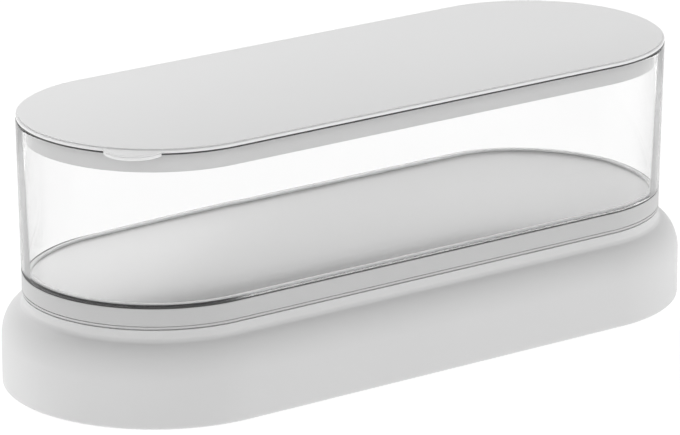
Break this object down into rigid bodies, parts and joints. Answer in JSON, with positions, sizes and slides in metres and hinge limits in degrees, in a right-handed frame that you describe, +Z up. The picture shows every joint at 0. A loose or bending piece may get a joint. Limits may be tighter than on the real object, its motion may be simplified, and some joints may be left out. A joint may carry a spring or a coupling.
{
  "type": "ultrasonic jewelry cleaner",
  "caption": "Stadium-shaped ultrasonic cleaner: a shouldered base with the driver inside, a clear tank wall over a steel floor, and a lift-off lid with a finger tab.",
  "frame": {"origin": "centre of the footprint, on the surface that the four feet stand on", "axes": "+X along the long axis, +Y to the rear side with the button and the power inlet, +Z up"},
  "size_m": [0.2, 0.0795, 0.0721],
  "materials": {
    "white_plastic": "fine satin moulded ABS, cool white",
    "grey_plastic": "satin moulded ABS, pale grey",
    "clear_plastic": "polished clear copolyester",
    "silicone": "translucent white silicone",
    "satin_steel": "satin stainless steel",
    "screw_steel": "plated steel",
    "dark_rubber": "dark silicone rubber",
    "foot_rubber": "matt grey rubber",
    "silvered_ceramic": "silvered piezo ceramic",
    "circuit_board": "green solder mask",
    "capacitor_sleeve": "heat-shrunk dark blue sleeve",
    "ferrite": "matt sintered ferrite",
    "aluminium": "extruded, bare",
    "black_epoxy": "matt moulded epoxy",
    "white_nylon": "natural nylon",
    "lead_insulation": "PVC insulation",
    "light_guide": "clear acrylic light guide"
  },
  "bodies": {
    "base": {"base_housing": "white_plastic", "bottom_cover": "white_plastic", "foot_1": "foot_rubber", "foot_2": "foot_rubber", "foot_3": "foot_rubber", "foot_4": "foot_rubber", "cover_screw_1": "screw_steel", "cover_screw_2": "screw_steel", "cover_screw_3": "screw_steel", "cover_screw_4": "screw_steel", "tank_collar": "white_plastic", "tank_wall": "clear_plastic", "floor_gasket": "dark_rubber", "steel_floor": "satin_steel", "seal_bead": "silicone", "transducer_disc": "silvered_ceramic", "transducer_lead_1": "lead_insulation", "transducer_lead_2": "lead_insulation", "driver_board": "circuit_board", "board_screw_1": "screw_steel", "board_screw_2": "screw_steel", "board_screw_3": "screw_steel", "board_screw_4": "screw_steel", "filter_capacitor": "capacitor_sleeve", "drive_inductor": "ferrite", "drive_transformer": "ferrite", "heat_sink": "aluminium", "power_transistor": "black_epoxy", "driver_chip": "black_epoxy", "lead_connector": "white_nylon", "button_switch": "black_epoxy", "indicator_led": "white_nylon", "indicator_lens": "light_guide", "usb_socket": "satin_steel", "usb_tongue": "black_epoxy"},
    "button": {"power_button": "white_plastic", "switch_plunger": "white_nylon"},
    "lid": {"lid_cover": "grey_plastic", "lid_plug": "grey_plastic", "lid_seal": "silicone"}
  },
  "joints": [
    {"name": "lid_lift", "type": "slide", "parent": "base", "child": "lid", "axis": [0, 0, 1], "range_m": [0, 0.06]},
    {"name": "button_press", "type": "slide", "parent": "base", "child": "button", "axis": [0, -1, 0], "range_m": [0, 0.0008], "stiffness_N_per_m": 1500}
  ]
}
